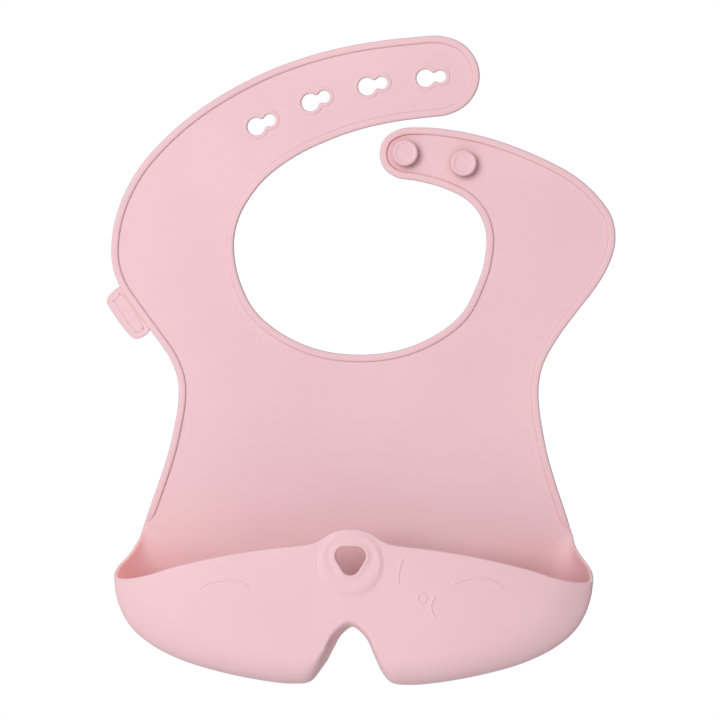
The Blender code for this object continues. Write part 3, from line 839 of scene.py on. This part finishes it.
def pocket_shell():
    """The pocket as one closed shell: its outer face, its inner face and its rounded rim."""
    grid, corner = pocket_surface()
    rows, columns = grid.shape[:2]
    bm = bmesh.new()
    outer = [[bm.verts.new(grid[r, c]) for c in range(columns)] for r in range(rows)]
    for r in range(rows - 1):
        for c in range(columns - 1):
            bm.faces.new((outer[r][c], outer[r + 1][c], outer[r + 1][c + 1], outer[r][c + 1]))
    # the front's end columns have no height, so they share one point
    weld = {}
    for c in (0, columns - 1):
        for r in range(corner + 1, rows):
            weld[outer[r][c]] = outer[corner][c]
    bmesh.ops.weld_verts(bm, targetmap=weld)
    for c in (0, columns - 1):
        for r in range(corner + 1, rows):
            outer[r][c] = outer[corner][c]
    bm.normal_update()
    # any point well inside the front tells which way the faces look
    on_front = outer[corner + 20][columns // 4]
    if on_front.normal.y > 0:
        bmesh.ops.reverse_faces(bm, faces=bm.faces)
        bm.normal_update()
    normals = {v: v.normal.copy() for v in bm.verts}
    for v in outer[0] + outer[1]:
        normals[v] = Vector((0, 1, 0))
    inner = {v: v.co - normals[v] * WALL_T for v in bm.verts}
    for v in outer[0] + outer[1]:
        inner[v].y = -SHEET_T
    # the relief begins three rows below the front, where it is still nothing
    front = list(dict.fromkeys(v for r in range(corner - 3, rows) for v in outer[r]))
    relief = front_relief(np.array([v.co.x for v in front]), np.array([v.co.z for v in front]))
    for v, height in zip(front, relief):
        v.co.y -= float(height)
    made = {v: bm.verts.new(co) for v, co in inner.items()}
    for face in list(bm.faces):
        bm.faces.new([made[v] for v in reversed(face.verts)])
    # rim: down one side, along the front, up the other side
    walk = [(outer[r][0], outer[r][1]) for r in range(corner + 1)]
    walk += [(outer[-1][c], outer[-2][c]) for c in range(1, columns - 1)]
    walk += [(outer[r][-1], outer[r][-2]) for r in range(corner, -1, -1)]
    arcs = []
    for k, (v, neighbour) in enumerate(walk):
        before = walk[max(k - 1, 0)][0].co
        after = walk[min(k + 1, len(walk) - 1)][0].co
        outward = (after - before).cross(normals[v]).normalized()
        if outward.dot(v.co - neighbour.co) < 0:
            outward = -outward
        centre = (v.co + made[v].co) / 2
        half = v.co - centre
        reach = half.length * min(1.0, k / RIM_START, (len(walk) - 1 - k) / RIM_START)
        line = [v]
        for step in range(1, RIM_STEPS):
            turn = math.pi * step / RIM_STEPS
            line.append(bm.verts.new(centre + half * math.cos(turn)
                                     + outward * reach * math.sin(turn)))
        line.append(made[v])
        arcs.append(line)
    for a, b in zip(arcs, arcs[1:]):
        for k in range(RIM_STEPS):
            bm.faces.new((a[k], a[k + 1], b[k + 1], b[k]))
    # the strip that meets the sheet, whose first and last faces also close the rim's ends
    last = columns - 2
    for c, (a, b) in enumerate(zip(outer[0], outer[0][1:])):
        before = arcs[0][-2:0:-1] if c == 0 else []
        after = arcs[-1][1:-1] if c == last else []
        bm.faces.new([a, b] + after + [made[b], made[a]] + before)
    bmesh.ops.recalc_face_normals(bm, faces=bm.faces)
    return bm


def cut_at(bm, y, keep_front):
    """The part of a closed shell on one side of a depth, closed again."""
    geom = bm.verts[:] + bm.edges[:] + bm.faces[:]
    cut = bmesh.ops.bisect_plane(bm, geom=geom, plane_co=(0, y, 0), plane_no=(0, -1, 0),
                                 clear_inner=keep_front, clear_outer=not keep_front)
    rim = [item for item in cut["geom_cut"] if isinstance(item, bmesh.types.BMEdge)]
    bmesh.ops.triangle_fill(bm, use_beauty=True, edges=rim)
    bmesh.ops.recalc_face_normals(bm, faces=bm.faces)


def prism(name, outline, y0, y1):
    """A closed bar with that outline, between two depths."""
    bm = bmesh.new()
    a = [bm.verts.new((p[0], y0, p[1])) for p in outline]
    b = [bm.verts.new((p[0], y1, p[1])) for p in outline]
    bm.faces.new(a)
    bm.faces.new(list(reversed(b)))
    count = len(outline)
    for k in range(count):
        bm.faces.new((a[k], a[(k + 1) % count], b[(k + 1) % count], b[k]))
    return finish_mesh(name, bm, SKIN)


def cut_hang_hole(piece):
    """Cuts the hang hole through a piece, whose mesh is then a plain one."""
    cutter = prism("hole_cutter", resample(hang_hole(LIP_LINE), 0.7), *HOLE_CUT)
    cut = piece.modifiers.new("hole", "BOOLEAN")
    cut.operation = "DIFFERENCE"
    cut.solver = "EXACT"
    cut.object = cutter
    depsgraph = bpy.context.evaluated_depsgraph_get()
    mesh = bpy.data.meshes.new_from_object(piece.evaluated_get(depsgraph))
    piece.modifiers.clear()
    piece.data = mesh
    bpy.data.objects.remove(cutter, do_unlink=True)


shell = pocket_shell()
front_shell = shell.copy()
cut_at(shell, SPLIT_Y, False)
cut_at(front_shell, SPLIT_Y, True)

bottom = [tuple(point) for point in pocket_lines()[1][::-1]]
bm = skin_piece(((0.0, waist_r), (waist_l, LAST)), extra=bottom)
lower_skin = finish_skin("lower_skin", bm)
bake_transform(lower_skin)
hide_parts("lower_panel", "lower_bead_right", "lower_bead_left")

pocket_back = finish_mesh("pocket_back_skin", shell, SKIN, turn_out=False)
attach(pocket_back, "lower")
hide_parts("pocket_floor", "pocket_wall_left", "pocket_wall_right")

pocket_front = finish_mesh("pocket_front_skin", front_shell, SKIN, turn_out=False)
cut_hang_hole(pocket_front)
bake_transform(pocket_front)
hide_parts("pocket_front")

bm = bmesh.new()
add_cord(bm, resample(hang_hole(LIP_LINE), RING_STEP), True, LIP_W, LIP_T, 0.0, LIP_SOFT)
for vert in bm.verts:
    vert.co.y += FRONT_Y + LIP_SINK
lip = finish_skin("hang_hole_lip", bm)
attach(lip, "pocket")
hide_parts("pocket_boss")

bm = bmesh.new()
for curve in MOTIF:
    closed = math.dist(curve[0], curve[-1]) < 0.01
    line = [tuple(spline_at(curve, u)) for u in even_steps(curve, RING_STEP)]
    taper = None
    if closed:
        line = line[:-1]
    else:
        last = len(line) - 1
        taper = [MOTIF_END + (1 - MOTIF_END) * min(1.0, k / 6, (last - k) / 6)
                 for k in range(last + 1)]
    add_cord(bm, line, closed, MOTIF_W, MOTIF_T, 0.0, MOTIF_SOFT, taper)
for vert in bm.verts:
    vert.co.y += front_depth(vert.co.x) + MOTIF_SINK
line_work = finish_skin("front_line_work", bm)
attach(line_work, "pocket")


# ---------------------------------------------------------------- side tag
closed_tag = TAG_OUTLINE + TAG_OUTLINE[:3]
tag_line = [spline_at(closed_tag, u) for u in np.linspace(1, len(TAG_OUTLINE) + 1, 97)[:-1]]
tag_centre = np.mean(np.array(tag_line), axis=0)


def tag_ring(amount):
    """The tag's outline shrunk evenly by an amount."""
    ring = np.array(tag_line)
    along = np.roll(ring, -1, axis=0) - np.roll(ring, 1, axis=0)
    along /= np.linalg.norm(along, axis=1)[:, None]
    normal = np.stack((-along[:, 1], along[:, 0]), axis=1)
    if ((tag_centre - ring) * normal).sum() < 0:
        normal = -normal
    return [tuple(p) for p in ring + normal * amount]


# the tag's sheet lies a hair inside its rounded edge, front and back
bm = bmesh.new()
sheet(bm, tag_ring(0.6), back=-0.05, front=-TAG_T + 0.03, spacing=1.4)
add_cord(bm, tag_ring(TAG_EDGE_W / 2), True, TAG_EDGE_W, TAG_T, TAG_T / 2, TAG_EDGE_SOFT)
add_cord(bm, tag_ring(TAG_FRAME_IN), True, TAG_FRAME_W, TAG_FRAME_T, TAG_T - 0.08,
         TAG_FRAME_SOFT)
tag = finish_skin("side_tag_skin", bm)
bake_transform(tag)
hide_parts("side_tag", "side_tag_frame")


# ---------------------------------------------------------------- floor, light, camera
# The stage is in metres, as the frame is.
FLOOR_Z = -0.45
MIDDLE = (0, 0, -0.05)
THIN_WALL = (-0.104, -0.026, -0.142)
# Each row: an axis, two directions along it, and the dome's brightness at each of them.
DOME_DIMS = (
    ("Z", -0.85, -0.22, 0.35, 1.03),
    ("Z", 0.9, 0.22, 0.5, 1.0),
    ("Y", -0.1, 0.6, 0.78, 1.0),
    ("X", 0.85, 0.24, 0.1, 1.0),
    ("X", -0.9, -0.24, 0.25, 1.0),
)
DOME_COLOUR = (0.972, 0.988, 1.03, 1)
LENS = 100
SENSOR = 36
AZIMUTH = math.radians(3.0)
ROLL = math.radians(0.7)
DISTANCE = 0.9274
AIM = Vector((0.0006, 0.0, -0.0528))


def floor_paint():
    """Matt white studio floor that fades out before its edge."""
    material = bpy.data.materials.new("matt_white_floor")
    material.use_nodes = True
    tree = material.node_tree
    tree.nodes.clear()
    where = add(tree, "ShaderNodeTexCoord")
    far = add(tree, "ShaderNodeVectorMath", {0: where.outputs["Object"]}, operation="LENGTH")
    edge_fade = add(tree, "ShaderNodeMapRange", {"Value": far.outputs["Value"], "From Min": 0.55,
                                                 "From Max": 1.05},
                    interpolation_type="SMOOTHSTEP")
    paint = add(tree, "ShaderNodeBsdfPrincipled", {"Base Color": linear("#F6F4F3"),
                                                   "Roughness": 0.8})
    clear = add(tree, "ShaderNodeBsdfTransparent")
    mixed = add(tree, "ShaderNodeMixShader", {0: edge_fade.outputs["Result"],
                                              1: paint.outputs["BSDF"],
                                              2: clear.outputs["BSDF"]})
    add(tree, "ShaderNodeOutputMaterial", {"Surface": mixed.outputs["Shader"]})
    return material


def studio_floor():
    """A round floor well below the bib."""
    bm = bmesh.new()
    bmesh.ops.create_circle(bm, cap_ends=True, radius=1.1, segments=96)
    mesh = bpy.data.meshes.new("floor")
    bm.to_mesh(mesh)
    bm.free()
    mesh.materials.append(floor_paint())
    floor = bpy.data.objects.new("floor", mesh)
    bpy.context.collection.objects.link(floor)
    floor.location = (0, 0, FLOOR_Z)


def lamp(name, kind, spot, aim, power, **settings):
    """A lamp at spot, turned to face aim."""
    data = bpy.data.lights.new(name, kind)
    data.energy = power
    for key, value in settings.items():
        setattr(data, key, value)
    obj = bpy.data.objects.new(name, data)
    bpy.context.collection.objects.link(obj)
    obj.location = spot
    obj.rotation_euler = (Vector(aim) - Vector(spot)).to_track_quat("-Z", "Y").to_euler()


def studio_dome():
    """A soft dome of light: white behind, a little dimmer in front, and falling off below,
    overhead and to both sides."""
    world = bpy.data.worlds.new("studio")
    bpy.context.scene.world = world
    world.use_nodes = True
    tree = world.node_tree
    tree.nodes.clear()
    where = add(tree, "ShaderNodeTexCoord")
    parts = add(tree, "ShaderNodeSeparateXYZ", {"Vector": where.outputs["Generated"]})
    level = None
    for axis, start, end, low, high in DOME_DIMS:
        dim = add(tree, "ShaderNodeMapRange", {"Value": parts.outputs[axis], "From Min": start,
                                               "From Max": end, "To Min": low, "To Max": high},
                  interpolation_type="SMOOTHSTEP")
        if level is None:
            level = dim.outputs["Result"]
        else:
            level = add(tree, "ShaderNodeMath", {0: level, 1: dim.outputs["Result"]},
                        operation="MULTIPLY").outputs["Value"]
    dome = add(tree, "ShaderNodeBackground", {"Color": DOME_COLOUR, "Strength": level})
    add(tree, "ShaderNodeOutputWorld", {"Surface": dome.outputs["Background"]})


def studio_camera():
    """A long lens, a touch to the right of the bib's middle and slightly rolled."""
    data = bpy.data.cameras.new("camera")
    data.lens = LENS
    data.sensor_width = SENSOR
    camera = bpy.data.objects.new("camera", data)
    bpy.context.collection.objects.link(camera)
    away = Vector((math.sin(AZIMUTH), -math.cos(AZIMUTH), 0.0))
    camera.location = AIM + DISTANCE * away
    facing = (AIM - camera.location).to_track_quat("-Z", "Y").to_matrix().to_4x4()
    camera.rotation_euler = (facing @ Matrix.Rotation(ROLL, 4, "Z")).to_euler()
    bpy.context.scene.camera = camera


studio_floor()
lamp("key", "AREA", (-0.8, -1.7, 0.45), MIDDLE, 25, shape="SQUARE", size=1.2)
# a small warm lamp on the inside of the pocket's thin left wall, for the light that
# shines through the real one
lamp("glow", "SPOT", (0.13, -0.03, -0.04), THIN_WALL, 1.55, color=(1.0, 0.68, 0.62),
     spot_size=math.radians(17), spot_blend=1.0, shadow_soft_size=0.01)
lamp("back", "AREA", (0.3, 1.8, 1.2), MIDDLE, 6, shape="SQUARE", size=1.2)
studio_dome()
studio_camera()
bpy.context.scene.view_settings.view_transform = "Standard"
bpy.context.scene.view_settings.look = "None"
